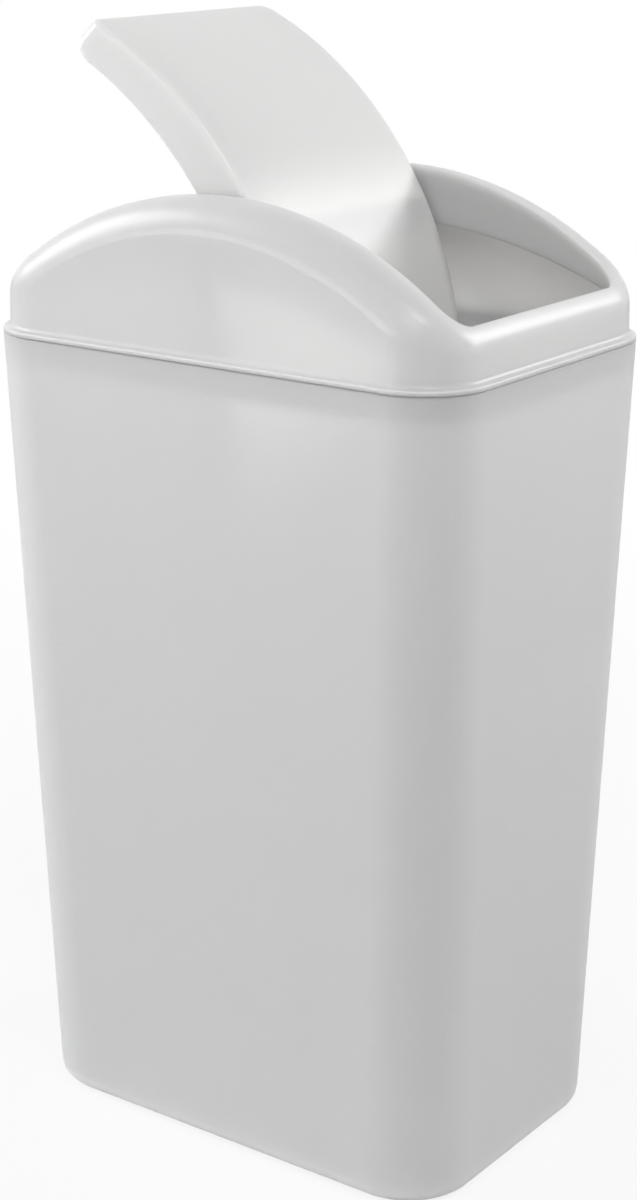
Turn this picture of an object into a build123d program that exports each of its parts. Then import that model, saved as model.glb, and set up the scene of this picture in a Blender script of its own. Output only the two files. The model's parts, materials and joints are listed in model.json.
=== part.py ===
from build123d import *
from math import cos, hypot, radians, sin, sqrt, tan
import os

# Countertop waste bin: a tall tapering body, an arched lid that lifts off its rim, and a curved
# flap that swings in the lid's mouth on two moulded pins. Lengths are in millimetres, angles in
# degrees. The origin is the middle of the foot ring, where the bin stands: X runs along the long
# sides, Y across them and Z up. Heights marked "above the rim" are measured from the body's rim.
# The flap is shown at its open stop, with its right end down inside the bin.

# Bin body: rounded rectangles at the rim and at the base, joined by straight tapering walls.
RIM_LENGTH = 184.0
RIM_WIDTH = 127.6
RIM_CORNER_RADIUS = 22.6
BASE_LENGTH = 170.2
BASE_WIDTH = 112.6
BASE_CORNER_RADIUS = 25.0
BODY_HEIGHT = 272.0
BODY_WALL = 2.0
FLOOR_THICKNESS = 2.4
BASE_EDGE_RADIUS = 6.0
FLOOR_EDGE_RADIUS = 4.0
FOOT_WIDTH = 5.0
FOOT_HEIGHT = 1.5
RIM_OUTER_EDGE_RADIUS = 0.9
RIM_INNER_EDGE_RADIUS = 0.5

# Lid: a flange flush with the rim, walls set back from it, and two arched cheeks beside the mouth.
FLANGE_HEIGHT = 1.5
FLANGE_EDGE_RADIUS = 0.4
WALL_SETBACK = 2.3
WALL_FOOT_RADIUS = 1.8
LID_WALL = 2.0
LID_DRAFT = 1.0
ARCH_HEIGHT = 49.8
ARCH_END_HEIGHT = 12.0
CROWN_EDGE_RADIUS = 11.0
PLUG_DEPTH = 8.0
PLUG_CLEARANCE = 0.4
PLUG_EDGE_RADIUS = 0.6

# Mouth of the lid: its edge, and the curb that hangs from it all round.
END_LEDGE = 7.4
CHEEK_WIDTH = 16.7
MOUTH_CORNER_RADIUS = 7.5
MOUTH_EDGE_RADIUS = 0.8
CURB_WALL = 2.0
CURB_DEPTH = 18.2
CURB_END_HEIGHT = 13.1
CURB_EDGE_RADIUS = 0.5

# Pivot: the ears on the curb, the pins of the flap, and the pegs that stop it when it is open.
PIVOT_HEIGHT = 34.5
OPEN_ANGLE = 61.4
PIN_RADIUS = 3.0
PIN_CLEARANCE = 0.1
PIN_END_CHAMFER = 0.8
COLLAR_RADIUS = 5.5
COLLAR_CLEARANCE = 0.3
EAR_RADIUS = 7.0
EAR_THICKNESS = 3.0
STOP_RADIUS = 2.0
STOP_OVERLAP = 1.8
STOP_CLEARANCE = 0.1
GUSSET_THICKNESS = 1.6

# Flap: a panel with the cheeks' arch, set a little lower, with skirts and end lips turned down.
FLAP_RECESS = 2.3
FLAP_SIDE_GAP = 1.6
FLAP_END_GAP = 1.0
FLAP_WALL = 2.0
FLAP_CORNER_RADIUS = 4.5
FLAP_EDGE_RADIUS = 1.0
SKIRT_DEPTH = 15.8
SKIRT_END_DEPTH = 14.6
LIP_TOE_RADIUS = 7.0
BOSS_THICKNESS = 3.2
RIB_THICKNESS = 1.6
RIB_DEPTH = 8.0

# How near two places must be to count as the same one.
SAME_PLACE = 0.01

# Sizes that follow from the ones above. Arc radii come from a chord and the arc's rise over it.


def arc_radius(half_chord, rise):
    """Radius of the arc that rises by rise over a chord of twice half_chord."""
    return (half_chord**2 + rise**2) / (2 * rise)


MOUTH_LENGTH = RIM_LENGTH - 2 * END_LEDGE
MOUTH_WIDTH = RIM_WIDTH - 2 * CHEEK_WIDTH
ARCH_RADIUS = arc_radius(RIM_LENGTH / 2, ARCH_HEIGHT - ARCH_END_HEIGHT)
ARCH_CENTRE = ARCH_HEIGHT - ARCH_RADIUS
CURB_BOTTOM = ARCH_HEIGHT - CURB_DEPTH
CURB_RADIUS = arc_radius(MOUTH_LENGTH / 2, CURB_BOTTOM - CURB_END_HEIGHT)

FLAP_LENGTH = MOUTH_LENGTH - 2 * FLAP_END_GAP
FLAP_WIDTH = MOUTH_WIDTH - 2 * FLAP_SIDE_GAP
FLAP_TOP = ARCH_HEIGHT - FLAP_RECESS
FLAP_CENTRE = ARCH_CENTRE - FLAP_RECESS
FLAP_END_HEIGHT = FLAP_CENTRE + sqrt(ARCH_RADIUS**2 - (FLAP_LENGTH / 2) ** 2)
FLAP_REACH = hypot(FLAP_LENGTH / 2, PIVOT_HEIGHT - FLAP_END_HEIGHT)
SKIRT_BOTTOM = FLAP_TOP - SKIRT_DEPTH
SKIRT_END_HEIGHT = FLAP_END_HEIGHT - SKIRT_END_DEPTH
SKIRT_RADIUS = arc_radius(FLAP_LENGTH / 2, SKIRT_BOTTOM - SKIRT_END_HEIGHT)
SKIRT_CENTRE = SKIRT_BOTTOM - SKIRT_RADIUS


def stop_distance():
    """How far below the pivot a stop peg lies, to meet the skirts' lower edge at OPEN_ANGLE.

    In the flap's own frame the peg is at (d sin a, -d cos a) from the pivot, and its middle then
    lies one peg radius and the clearance inside the arc of the skirts' lower edge.
    """
    drop = PIVOT_HEIGHT - SKIRT_CENTRE
    reach = SKIRT_RADIUS - STOP_RADIUS - STOP_CLEARANCE
    half_slope = drop * cos(radians(OPEN_ANGLE))
    return half_slope - sqrt(half_slope**2 - drop**2 + reach**2)


def body_outline(height, inset=0.0):
    """Rounded rectangle of the tapering body at a height above the base, drawn in by inset."""
    share = height / BODY_HEIGHT
    length = BASE_LENGTH + share * (RIM_LENGTH - BASE_LENGTH) - 2 * inset
    width = BASE_WIDTH + share * (RIM_WIDTH - BASE_WIDTH) - 2 * inset
    radius = BASE_CORNER_RADIUS + share * (RIM_CORNER_RADIUS - BASE_CORNER_RADIUS) - inset
    return Plane.XY.offset(height) * RectangleRounded(length, width, radius)


def tapering_block(low, high, inset=0.0):
    """Solid block with the body's taper between two heights, drawn in by inset."""
    return loft([body_outline(low, inset), body_outline(high, inset)], ruled=True)


def bottom_edges(shape):
    """The edges round the lowest face of a shape."""
    return shape.faces().sort_by(Axis.Z)[0].edges()


def bin_body():
    """Open-topped body with an even wall, a raised floor inside a foot ring, and a rounded rim."""
    outside = tapering_block(0, BODY_HEIGHT)
    outside = fillet(bottom_edges(outside), BASE_EDGE_RADIUS)

    inside = tapering_block(FOOT_HEIGHT + FLOOR_THICKNESS, BODY_HEIGHT, BODY_WALL)
    inside = fillet(bottom_edges(inside), FLOOR_EDGE_RADIUS)

    recess = extrude(body_outline(0, BASE_EDGE_RADIUS + FOOT_WIDTH), FOOT_HEIGHT)

    body = outside - inside - recess
    rim = body.faces().sort_by(Axis.Z)[-1]
    body = fillet(rim.outer_wire().edges(), RIM_OUTER_EDGE_RADIUS)
    rim = body.faces().sort_by(Axis.Z)[-1]
    return fillet(rim.inner_wires()[0].edges(), RIM_INNER_EDGE_RADIUS)


def lid_outline(height, inset=0.0):
    """Rounded rectangle of the lid's drafted wall at a height above the rim, drawn in by inset."""
    setback = WALL_SETBACK + height * tan(radians(LID_DRAFT)) + inset
    rectangle = RectangleRounded(
        RIM_LENGTH - 2 * setback,
        RIM_WIDTH - 2 * setback,
        RIM_CORNER_RADIUS - setback,
    )
    return Plane.XY.offset(BODY_HEIGHT + height) * rectangle


def side_profile(face):
    """Stands a face drawn with X along the bin and Y as height above the rim, and thickens it."""
    standing = Pos(0, 0, BODY_HEIGHT) * (Plane.XZ * face)
    return extrude(standing, RIM_WIDTH, both=True)


def crown_block(inset=0.0):
    """Solid form of the lid above the rim, drawn in by inset, with its top edge rounded."""
    walls = loft([lid_outline(0, inset), lid_outline(ARCH_HEIGHT + WALL_SETBACK, inset)], ruled=True)
    block = walls & side_profile(Pos(0, ARCH_CENTRE) * Circle(ARCH_RADIUS - inset))
    top_faces = [face for face in block.faces() if face.normal_at(face.center()).Z > sin(radians(45))]
    edges = [edge for face in top_faces for edge in face.edges()]
    border = [edge for edge in edges if sum(edge.is_same(other) for other in edges) == 1]
    return fillet(border, CROWN_EDGE_RADIUS - inset)


def mouth_block(outset=0.0):
    """Upright block through the mouth of the lid, grown by outset."""
    outline = RectangleRounded(
        MOUTH_LENGTH + 2 * outset, MOUTH_WIDTH + 2 * outset, MOUTH_CORNER_RADIUS + outset
    )
    return extrude(Plane.XY.offset(BODY_HEIGHT) * outline, ARCH_HEIGHT + WALL_SETBACK)


def in_mouth(edge):
    """Whether the middle of an edge lies on the mouth's outline."""
    middle = edge.position_at(0.5)
    half_length = MOUTH_LENGTH / 2 + SAME_PLACE
    half_width = MOUTH_WIDTH / 2 + SAME_PLACE
    return abs(middle.X) < half_length and abs(middle.Y) < half_width


def mouth_cut():
    """What the mouth takes out of the crown: its upright block, flared by the rounded edge."""
    crown = crown_block()
    opened = crown - mouth_block()
    edges = opened.edges().filter_by(Axis.Z, reverse=True).filter_by(in_mouth)
    upper = edges.filter_by(lambda edge: edge.center().Z > BODY_HEIGHT + SAME_PLACE)
    return crown - fillet(upper, MOUTH_EDGE_RADIUS)


def cross_cylinder(radius, height, inner, outer):
    """Round bar along Y between two distances from the middle, on the side where Y is positive."""
    centre = Pos(0, (inner + outer) / 2, BODY_HEIGHT + height)
    return centre * Rot(90, 0, 0) * Cylinder(radius, outer - inner)


def both_sides(shape):
    """A shape made where Y is positive, together with its mirror image on the other side."""
    return shape + mirror(shape, about=Plane.XZ)


def curb(cut):
    """The wall that hangs round the mouth down to a shallow arc, inside the crown and off the cut."""
    arc_centre = CURB_BOTTOM - CURB_RADIUS
    upper = Pos(0, ARCH_HEIGHT) * Rectangle(RIM_LENGTH, 2 * ARCH_HEIGHT)
    above_arc = side_profile(upper - Pos(0, arc_centre) * Circle(CURB_RADIUS))
    ring = (mouth_block(CURB_WALL) - mouth_block()) & above_arc
    lower_faces = [face for face in ring.faces() if face.normal_at().Z < -sin(radians(45))]
    ring = fillet([edge for face in lower_faces for edge in face.edges()], CURB_EDGE_RADIUS)
    return (ring & crown_block()) - cut


def pivot_ears():
    """One rounded ear a side: it carries the pin's hole and, below it, the peg that stops the flap."""
    inner = MOUTH_WIDTH / 2
    outer = inner + EAR_THICKNESS
    peg_height = PIVOT_HEIGHT - stop_distance()
    web = Pos(0, (inner + outer) / 2, BODY_HEIGHT + (PIVOT_HEIGHT + peg_height) / 2) * Box(
        2 * EAR_RADIUS, EAR_THICKNESS, PIVOT_HEIGHT - peg_height
    )
    ear = cross_cylinder(EAR_RADIUS, PIVOT_HEIGHT, inner, outer) + web
    ear += cross_cylinder(EAR_RADIUS, peg_height, inner, outer)
    peg_end = inner - FLAP_SIDE_GAP - STOP_OVERLAP
    ear += cross_cylinder(STOP_RADIUS, peg_height, peg_end, inner)
    return both_sides(ear)


def gussets():
    """Two thin webs a side that tie each ear to the outer wall under the cheek."""
    inner = MOUTH_WIDTH / 2 + CURB_WALL / 2
    outer = RIM_WIDTH / 2
    height = ARCH_HEIGHT - PIVOT_HEIGHT + EAR_RADIUS
    middle = BODY_HEIGHT + ARCH_HEIGHT - height / 2
    offset = EAR_RADIUS - GUSSET_THICKNESS / 2
    web = Pos(0, (inner + outer) / 2, middle) * Box(GUSSET_THICKNESS, outer - inner, height)
    pair = Pos(offset, 0, 0) * web + Pos(-offset, 0, 0) * web
    return both_sides(pair & crown_block(LID_WALL / 2))


def lid_cover():
    """Lid in one moulding: flange, walls and crown, hollow inside, with the plug below the rim."""
    flange = extrude(body_outline(BODY_HEIGHT), FLANGE_HEIGHT)
    cover = flange + crown_block()
    step = cover.faces().filter_by(Plane.XY).sort_by(Axis.Z)[-1]
    cover = fillet(step.inner_wires()[0].edges(), WALL_FOOT_RADIUS)
    step = cover.faces().filter_by(Plane.XY).sort_by(Axis.Z)[-1]
    cover = fillet(step.outer_wire().edges(), FLANGE_EDGE_RADIUS)

    plug = tapering_block(BODY_HEIGHT - PLUG_DEPTH, BODY_HEIGHT, BODY_WALL + PLUG_CLEARANCE)
    plug = fillet(bottom_edges(plug), PLUG_EDGE_RADIUS)
    cavity_inset = WALL_SETBACK + LID_WALL
    cavity = tapering_block(BODY_HEIGHT - PLUG_DEPTH, BODY_HEIGHT, cavity_inset)
    cut = mouth_cut()
    cover = cover + plug - cavity - crown_block(LID_WALL) - cut

    cover = cover + curb(cut) + pivot_ears() + gussets()
    hole = cross_cylinder(
        PIN_RADIUS + PIN_CLEARANCE, PIVOT_HEIGHT, MOUTH_WIDTH / 2, MOUTH_WIDTH / 2 + EAR_THICKNESS
    )
    return cover - both_sides(hole)


def flap_profile(inset=0.0):
    """Side view of the flap without its lower edge: the top arc, and end arcs about the pivot."""
    top = Pos(0, FLAP_CENTRE) * Circle(ARCH_RADIUS - inset)
    return top & Pos(0, PIVOT_HEIGHT) * Circle(FLAP_REACH - inset)


def flap_block(inset=0.0):
    """Block as wide as the flap under its curved top, drawn in by inset, with rounded corners."""
    standing = Pos(0, 0, BODY_HEIGHT) * (Plane.XZ * flap_profile(inset))
    block = extrude(standing, FLAP_WIDTH / 2 - inset, both=True)
    corners = block.edges().filter_by(GeomType.CIRCLE).group_by(SortBy.RADIUS)[0]
    return fillet(corners, FLAP_CORNER_RADIUS - inset)


def skirt_trim():
    """What the arc of the skirts' lower edge leaves, with a rounded toe at the foot of each lip."""
    upper = flap_profile() - Pos(0, SKIRT_CENTRE) * Circle(SKIRT_RADIUS)
    toes = upper.vertices().group_by(Axis.Y)[0]
    return side_profile(fillet(toes, LIP_TOE_RADIUS))


def pivot_pins():
    """One pin a side, with its collar outside the skirt and the boss that backs it inside."""
    skirt_outside = FLAP_WIDTH / 2
    boss = cross_cylinder(
        COLLAR_RADIUS, PIVOT_HEIGHT, skirt_outside - BOSS_THICKNESS, MOUTH_WIDTH / 2 - COLLAR_CLEARANCE
    )
    pin_end = MOUTH_WIDTH / 2 + EAR_THICKNESS
    pin = cross_cylinder(PIN_RADIUS, PIVOT_HEIGHT, skirt_outside, pin_end)
    pin = chamfer(pin.faces().sort_by(Axis.Y)[-1].edges(), PIN_END_CHAMFER)
    return both_sides(boss + pin)


def swing_flap():
    """Flap in one moulding, made closed in the mouth and turned about its pins to its open stop."""
    panel = flap_block()
    top = panel.faces().sort_by(Axis.Z)[-1]
    panel = fillet(top.edges(), FLAP_EDGE_RADIUS) & skirt_trim()
    panel = panel - flap_block(FLAP_WALL)

    rib_bottom = FLAP_TOP - FLAP_WALL - RIB_DEPTH
    rib = Pos(0, 0, BODY_HEIGHT + rib_bottom + RIB_DEPTH / 2) * Box(
        RIB_THICKNESS, FLAP_WIDTH - FLAP_WALL, RIB_DEPTH + FLAP_WALL
    )
    panel = panel + rib + pivot_pins()

    pivot = Pos(0, 0, BODY_HEIGHT + PIVOT_HEIGHT)
    return pivot * Rot(0, OPEN_ANGLE, 0) * pivot.inverse() * panel


parts = {
    "bin_body": bin_body(),
    "lid_cover": lid_cover(),
    "swing_flap": swing_flap(),
}

os.makedirs("parts", exist_ok=True)
for name, shape in parts.items():
    export_step(shape, f"parts/{name}.step")
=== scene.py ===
"""Looks for a countertop waste bin: a tapering body, an arched lift-off lid and a swinging flap."""

import json
import math

import bpy
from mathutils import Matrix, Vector


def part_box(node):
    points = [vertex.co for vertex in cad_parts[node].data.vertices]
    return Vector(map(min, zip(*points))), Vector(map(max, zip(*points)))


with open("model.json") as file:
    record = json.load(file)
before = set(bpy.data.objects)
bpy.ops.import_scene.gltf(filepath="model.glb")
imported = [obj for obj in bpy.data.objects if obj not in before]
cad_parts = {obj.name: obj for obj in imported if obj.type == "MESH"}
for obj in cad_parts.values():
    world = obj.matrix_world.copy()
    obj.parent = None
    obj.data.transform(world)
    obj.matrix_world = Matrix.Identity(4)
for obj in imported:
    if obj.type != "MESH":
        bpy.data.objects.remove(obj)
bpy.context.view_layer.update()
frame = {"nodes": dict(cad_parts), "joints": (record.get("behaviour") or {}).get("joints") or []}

bpy.ops.object.select_all(action="DESELECT")

# ---------------------------------------------------------------------------------------------
# Bin body: one injection moulding in white polypropylene, slightly translucent in its 2 mm wall,
# with the mould's fine spark texture. Worktops dull its foot ring, the lid's plug and liner bags
# rub its rim, and shade is painted in dark grey on the rim's edge in the seam under the lid's flange.
# ---------------------------------------------------------------------------------------------

rim_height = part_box("bin_body")[1].z
foot_wear_height = 0.005
rim_wear_depth = 0.003
seam_depth = 0.0009

number = "NodeSocketFloat"
colour = "NodeSocketColor"


def add_node(tree, kind, sources=None, **settings):
    """Adds a shader node. Sources give each input socket a value or another node's output."""
    node = tree.nodes.new(kind)
    for setting, value in settings.items():
        setattr(node, setting, value)
    for socket, source in (sources or {}).items():
        if isinstance(source, bpy.types.NodeSocket):
            tree.links.new(source, node.inputs[socket])
        else:
            node.inputs[socket].default_value = source
    return node


def object_place(tree):
    """Position on the piece, in metres, which stays with the piece when it moves."""
    return add_node(tree, "ShaderNodeTexCoord").outputs["Object"]


def calculate(tree, operation, *values, clamped=False):
    """Result of a math node on one to three values."""
    sources = dict(enumerate(values))
    node = add_node(tree, "ShaderNodeMath", sources, operation=operation, use_clamp=clamped)
    return node.outputs[0]


def noise(tree, place, rate, detail, roughness=0.5):
    """Noise around 0.5, with about as many grains to a unit of place as the rate says."""
    sources = {"Vector": place, "Scale": rate, "Detail": detail, "Roughness": roughness}
    return add_node(tree, "ShaderNodeTexNoise", sources).outputs["Fac"]


def ramp(tree, value, none, full, least=0.0, most=1.0, curve="LINEAR"):
    """Least where the value is none, most where it is full, and a slope between the two."""
    sources = {"Value": value, "From Min": none, "From Max": full, "To Min": least, "To Max": most}
    return add_node(tree, "ShaderNodeMapRange", sources, interpolation_type=curve).outputs[0]


def height_band(tree, none, full):
    """Mask that rises from 0 at one height of the piece to 1 at another."""
    height = add_node(tree, "ShaderNodeSeparateXYZ", {"Vector": object_place(tree)}).outputs["Z"]
    return ramp(tree, height, none, full)


def open_group(name, inputs, outputs):
    """Starts a shader node group with sockets of the kinds given, and returns it and its ends."""
    group = bpy.data.node_groups.new(name, "ShaderNodeTree")
    for direction, sockets in (("INPUT", inputs), ("OUTPUT", outputs)):
        for label, kind in sockets.items():
            group.interface.new_socket(label, in_out=direction, socket_type=kind)
    given = add_node(group, "NodeGroupInput").outputs
    result = add_node(group, "NodeGroupOutput").inputs
    return group, given, result


def mould_surface_group():
    """Spark-eroded grain over the slow waviness of a cooled wall, both as one height."""
    group, given, result = open_group(
        "mould_surface",
        {"Grains per Metre": number, "Grain Height": number},
        {"Height": number},
    )
    place = object_place(group)
    grain = noise(group, place, given["Grains per Metre"], detail=3.0, roughness=0.62)
    waves = noise(group, place, rate=22.0, detail=1.0)
    height = calculate(group, "MULTIPLY_ADD", grain, given["Grain Height"], waves)
    group.links.new(height, result["Height"])
    return group


def handling_marks_group():
    """Fine hairline scratches in patches, and the soft smudges that hands and cloths leave."""
    upright_lines = {"Rotation": (0.16, 0.28, 0.4), "Scale": (0.0009, 0.0009, 0.07)}
    level_lines = {"Rotation": (0.2, -0.2, 0.12), "Scale": (0.06, 0.0008, 0.0008)}

    group, given, result = open_group(
        "handling_marks",
        {"Scratch Amount": number, "Patches per Metre": number},
        {"Scratches": number, "Smudges": number},
    )
    place = object_place(group)
    lines = []
    for line in (upright_lines, level_lines):
        turned = add_node(group, "ShaderNodeMapping", {"Vector": place, **line}, vector_type="TEXTURE")
        streaks = noise(group, turned.outputs[0], rate=1.0, detail=0.0)
        lines.append(ramp(group, streaks, none=0.74, full=0.8))
    hairlines = calculate(group, "MAXIMUM", *lines)

    handled = noise(group, place, given["Patches per Metre"], detail=2.0)
    patches = ramp(group, handled, none=0.5, full=0.68, curve="SMOOTHSTEP")
    patchy = calculate(group, "MULTIPLY", hairlines, patches)
    scratches = calculate(group, "MULTIPLY", patchy, given["Scratch Amount"])
    group.links.new(scratches, result["Scratches"])

    smears = noise(group, place, rate=26.0, detail=3.0)
    smudges = ramp(group, smears, none=0.2, full=0.8, curve="SMOOTHSTEP")
    group.links.new(smudges, result["Smudges"])
    return group


def resin_tone_and_painted_shade_group():
    """Slow change of tone where the resin flowed, warmer where it is worn, and painted shade in dark
    grey.
    """
    aged_by_flow = 0.2
    aged_by_wear = 0.5
    # Dark grey painted in as the shade in the seam under the lid's flange.
    painted_shade_colour = (0.3, 0.295, 0.285, 1)

    group, given, result = open_group(
        "resin_tone_and_painted_shade",
        {"Fresh": colour, "Aged": colour, "Worn": number, "Painted Shade": number},
        {"Color": colour},
    )
    flow = noise(group, object_place(group), rate=9.0, detail=3.0)
    flow_age = ramp(group, flow, none=0.3, full=0.7, most=aged_by_flow)
    age = calculate(group, "MULTIPLY_ADD", given["Worn"], aged_by_wear, flow_age, clamped=True)
    tone = add_node(
        group,
        "ShaderNodeMix",
        {"Factor": age, "A": given["Fresh"], "B": given["Aged"]},
        data_type="RGBA",
    )
    # Painted shade: the seam's shade is mixed into the tone as dark grey.
    shade_painted_tone = add_node(
        group,
        "ShaderNodeMix",
        {"Factor": given["Painted Shade"], "A": tone.outputs["Result"], "B": painted_shade_colour},
        data_type="RGBA",
    )
    group.links.new(shade_painted_tone.outputs["Result"], result["Color"])
    return group


mould_surface = mould_surface_group()
handling_marks = handling_marks_group()
resin_tone_and_painted_shade = resin_tone_and_painted_shade_group()

refractive_index = 1.49
red_green_blue_reach = (1.0, 0.985, 0.95)
grain_height = 0.12
scratch_patches_per_metre = 11.0
scratch_height = -0.1
smudge_dulling = 0.03
wear_dulling = 0.2
relief_strength = 0.3
relief_height = 0.0003


def satin_polypropylene(
    name, fresh, aged, roughness, grains, scratch_amount, light_depth, wear, painted_shade=None
):
    """Satin white plastic that light enters to its light depth, with mould grain and marks.

    Wear and painted_shade are functions that add the mask of where this piece is worn, and of where
    shade is painted on it.
    """
    material = bpy.data.materials.new(name)
    material.use_nodes = True
    tree = material.node_tree
    shader = tree.nodes["Principled BSDF"]
    shader.inputs["IOR"].default_value = refractive_index
    shader.inputs["Subsurface Weight"].default_value = 1.0
    shader.inputs["Subsurface Radius"].default_value = red_green_blue_reach
    shader.inputs["Subsurface Scale"].default_value = light_depth

    marks = add_node(
        tree,
        "ShaderNodeGroup",
        {"Scratch Amount": scratch_amount, "Patches per Metre": scratch_patches_per_metre},
        node_tree=handling_marks,
    ).outputs
    surface = add_node(
        tree,
        "ShaderNodeGroup",
        {"Grains per Metre": grains, "Grain Height": grain_height},
        node_tree=mould_surface,
    ).outputs

    worn = calculate(tree, "ADD", marks["Scratches"], wear(tree), clamped=True)
    # Where shade is painted, the tone turns dark grey.
    painted_shade_share = painted_shade(tree) if painted_shade else 0.0
    tone = add_node(
        tree,
        "ShaderNodeGroup",
        {"Fresh": fresh, "Aged": aged, "Worn": worn, "Painted Shade": painted_shade_share},
        node_tree=resin_tone_and_painted_shade,
    ).outputs
    tree.links.new(tone["Color"], shader.inputs["Base Color"])

    smudged = calculate(tree, "MULTIPLY_ADD", marks["Smudges"], smudge_dulling, roughness)
    dulled = calculate(tree, "MULTIPLY_ADD", worn, wear_dulling, smudged)
    tree.links.new(dulled, shader.inputs["Roughness"])

    relief = calculate(tree, "MULTIPLY_ADD", marks["Scratches"], scratch_height, surface["Height"])
    bump = add_node(
        tree,
        "ShaderNodeBump",
        {"Height": relief, "Strength": relief_strength, "Distance": relief_height},
    )
    tree.links.new(bump.outputs["Normal"], shader.inputs["Normal"])
    return material


def finish_node(name, material):
    """Gives the piece of that name its material, in place of the plain one it came with."""
    slots = frame["nodes"][name].data.materials
    slots.clear()
    slots.append(material)


def body_wear(tree):
    """Mask of the foot ring's underside and of the rim's edge, which fades away from both."""
    foot = height_band(tree, none=foot_wear_height, full=0.0)
    rim = height_band(tree, none=rim_height - rim_wear_depth, full=rim_height)
    return calculate(tree, "MAXIMUM", foot, rim)


def seam_painted_shade(tree):
    """Mask of the rim's rounded edge, where it meets the flange, on which the seam's shade is painted.
    """
    return height_band(tree, none=rim_height - seam_depth, full=rim_height)


body_plastic = satin_polypropylene(
    "body_polypropylene",
    fresh=(0.855, 0.851, 0.845, 1),
    aged=(0.8, 0.79, 0.765, 1),
    roughness=0.32,
    grains=1700.0,
    scratch_amount=0.5,
    light_depth=0.0085,
    wear=body_wear,
    # Painted shade: the rim's edge under the lid's flange is painted dark, in place of the gap's
    # shadow.
    painted_shade=seam_painted_shade,
)
finish_node("bin_body", body_plastic)

# ---------------------------------------------------------------------------------------------
# Lid: one moulding in the same resin from a smoother mould, so its rounded crown shines a little
# more. It drops into the rim on its plug, and the plug and flange are rubbed each time it is
# lifted off and put back.
# ---------------------------------------------------------------------------------------------

plug_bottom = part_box("lid_cover")[0].z
flange_thickness = 0.0015


def lid_wear(tree):
    """Mask of the plug, which fades out at the top of the flange."""
    return height_band(tree, none=rim_height + flange_thickness, full=plug_bottom)


lid_plastic = satin_polypropylene(
    "lid_polypropylene",
    fresh=(0.81, 0.806, 0.8, 1),
    aged=(0.765, 0.755, 0.73, 1),
    roughness=0.278,
    grains=2100.0,
    scratch_amount=0.6,
    light_depth=0.0075,
    wear=lid_wear,
)
finish_node("lid_cover", lid_plastic)

# ---------------------------------------------------------------------------------------------
# Swing flap: one moulding in the same resin, which turns on two moulded pins in the lid's ears.
# The pins, and the collars that they stand on, are dulled by turning against the ears.
# ---------------------------------------------------------------------------------------------

pivot = next(joint["pos_m"] for joint in frame["joints"] if joint["name"] == "flap_swing")
across_pins = (1.0, 0.0, 1.0)
collar_radius = 0.0055
wear_radius = 0.00825
flap_half_width = 0.0455


def pin_wear(tree):
    """Mask of what stands out beyond the flap's sides close to the pivot: collars and pins."""
    place = object_place(tree)
    from_pivot = add_node(tree, "ShaderNodeVectorMath", {0: place, 1: pivot}, operation="SUBTRACT")
    flat = add_node(
        tree,
        "ShaderNodeVectorMath",
        {0: from_pivot.outputs[0], 1: across_pins},
        operation="MULTIPLY",
    )
    radius = add_node(tree, "ShaderNodeVectorMath", {0: flat.outputs[0]}, operation="LENGTH")
    near = ramp(tree, radius.outputs["Value"], none=wear_radius, full=collar_radius)
    sideways = add_node(tree, "ShaderNodeSeparateXYZ", {"Vector": place}).outputs["Y"]
    offset = calculate(tree, "ABSOLUTE", sideways)
    outside = calculate(tree, "GREATER_THAN", offset, flap_half_width)
    return calculate(tree, "MULTIPLY", near, outside)


flap_plastic = satin_polypropylene(
    "flap_polypropylene",
    fresh=(0.79, 0.787, 0.782, 1),
    aged=(0.745, 0.735, 0.71, 1),
    roughness=0.278,
    grains=2100.0,
    scratch_amount=0.6,
    light_depth=0.006,
    wear=pin_wear,
)
finish_node("swing_flap", flap_plastic)

# ---------------------------------------------------------------------------------------------
# Studio: a pale painted floor that runs out to white and keeps the bin's soft shadow, and five
# softboxes round the bin, with a little light from the room.
# ---------------------------------------------------------------------------------------------

floor_size = 12.0
floor_grey = (0.82, 0.82, 0.82, 1)
floor_roughness = 0.9
fade_start = 0.12
fade_end = 0.9
whiteness_at_start = 0.84

bpy.ops.mesh.primitive_plane_add(size=floor_size, location=(0, 0, 0))
floor = bpy.context.object
floor.name = "studio_floor"
floor_paint = bpy.data.materials.new("floor_paint")
floor_paint.use_nodes = True
tree = floor_paint.node_tree
paint = tree.nodes["Principled BSDF"]
paint.inputs["Base Color"].default_value = floor_grey
paint.inputs["Roughness"].default_value = floor_roughness
paint.inputs["Specular IOR Level"].default_value = 0.0
white = add_node(tree, "ShaderNodeEmission", {"Strength": 1.0})
reach = add_node(tree, "ShaderNodeVectorMath", {0: object_place(tree)}, operation="LENGTH")
whiteness = ramp(
    tree,
    reach.outputs["Value"],
    none=fade_start,
    full=fade_end,
    least=whiteness_at_start,
    curve="SMOOTHSTEP",
)
seen = add_node(tree, "ShaderNodeLightPath").outputs["Is Camera Ray"]
share = calculate(tree, "MULTIPLY", whiteness, seen)
mix = add_node(tree, "ShaderNodeMixShader", {0: share, 1: paint.outputs[0], 2: white.outputs[0]})
tree.links.new(mix.outputs[0], tree.nodes["Material Output"].inputs["Surface"])
floor.data.materials.append(floor_paint)

# The room lights the bin faintly, and what is seen or mirrored of it is a white backdrop.
white_light = (1, 1, 1, 1)
room_strength = 0.33
backdrop_strength = 1.0

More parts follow.
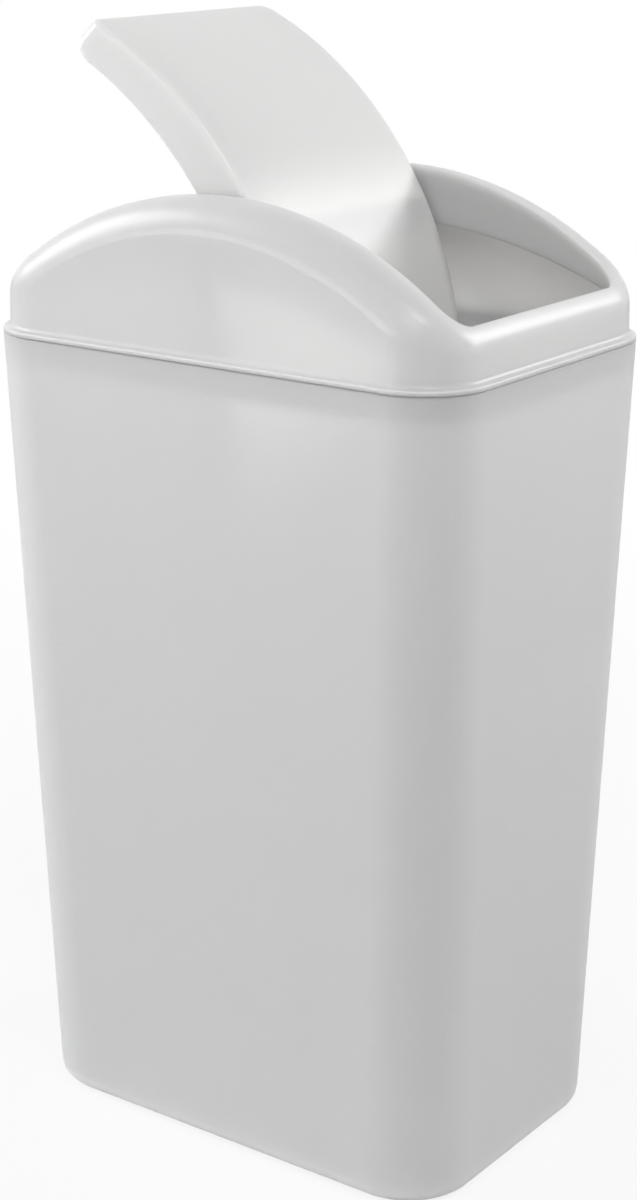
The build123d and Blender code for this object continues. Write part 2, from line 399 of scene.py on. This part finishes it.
world = bpy.data.worlds.new("studio")
bpy.context.scene.world = world
world.use_nodes = True
tree = world.node_tree
tree.nodes.clear()
room = add_node(tree, "ShaderNodeBackground", {"Color": white_light, "Strength": room_strength})
backdrop = add_node(
    tree, "ShaderNodeBackground", {"Color": white_light, "Strength": backdrop_strength}
)
path = add_node(tree, "ShaderNodeLightPath").outputs
direct = calculate(tree, "MAXIMUM", path["Is Camera Ray"], path["Is Transmission Ray"])
seen = calculate(tree, "MAXIMUM", direct, path["Is Glossy Ray"])
mix = add_node(tree, "ShaderNodeMixShader", {0: seen, 1: room.outputs[0], 2: backdrop.outputs[0]})
add_node(tree, "ShaderNodeOutputWorld", {"Surface": mix.outputs[0]})

lamp_aim = Vector((0, 0, 0.18))
lamp_distance = 1.6


def from_angles(azimuth, elevation):
    """Direction at an azimuth from the front, towards the right, and an elevation, in degrees."""
    turn = math.radians(azimuth)
    rise = math.radians(elevation)
    return Vector((math.sin(turn) * math.cos(rise), -math.cos(turn) * math.cos(rise), math.sin(rise)))


def softbox(name, azimuth, elevation, width, height, power):
    """A rectangular softbox that faces the middle of the bin."""
    lamp = bpy.data.lights.new(name, "AREA")
    lamp.shape = "RECTANGLE"
    lamp.size = width
    lamp.size_y = height
    lamp.energy = power
    stand = bpy.data.objects.new(name, lamp)
    bpy.context.scene.collection.objects.link(stand)
    stand.location = lamp_aim + from_angles(azimuth, elevation) * lamp_distance
    stand.rotation_euler = (lamp_aim - stand.location).to_track_quat("-Z", "Y").to_euler()


softbox("softbox_overhead", azimuth=62, elevation=58, width=0.6, height=0.4, power=4.6)
softbox("softbox_front", azimuth=30, elevation=42, width=0.6, height=0.6, power=3.4)
softbox("softbox_back", azimuth=142, elevation=27, width=0.6, height=0.6, power=8.0)
softbox("softbox_left", azimuth=292, elevation=28, width=0.9, height=0.8, power=11.9)
softbox("softbox_low", azimuth=328, elevation=5, width=0.8, height=0.25, power=2.8)

# The camera stands to the right of the front, a little above the lid, and sees into the mouth.
camera_aim = Vector((0.00039, 0.00031, 0.18053))
camera_distance = 0.8143
camera_azimuth = 36.108
camera_elevation = 17.388
film_height = 36.0
lens_length = 72.41

camera_data = bpy.data.cameras.new("camera")
camera_data.sensor_fit = "VERTICAL"
camera_data.sensor_height = film_height
camera_data.lens = lens_length
camera = bpy.data.objects.new("camera", camera_data)
bpy.context.scene.collection.objects.link(camera)
towards_camera = from_angles(camera_azimuth, camera_elevation)
camera.location = camera_aim + towards_camera * camera_distance
camera.rotation_euler = towards_camera.to_track_quat("Z", "Y").to_euler()
bpy.context.scene.camera = camera
bpy.context.scene.view_settings.view_transform = "Standard"
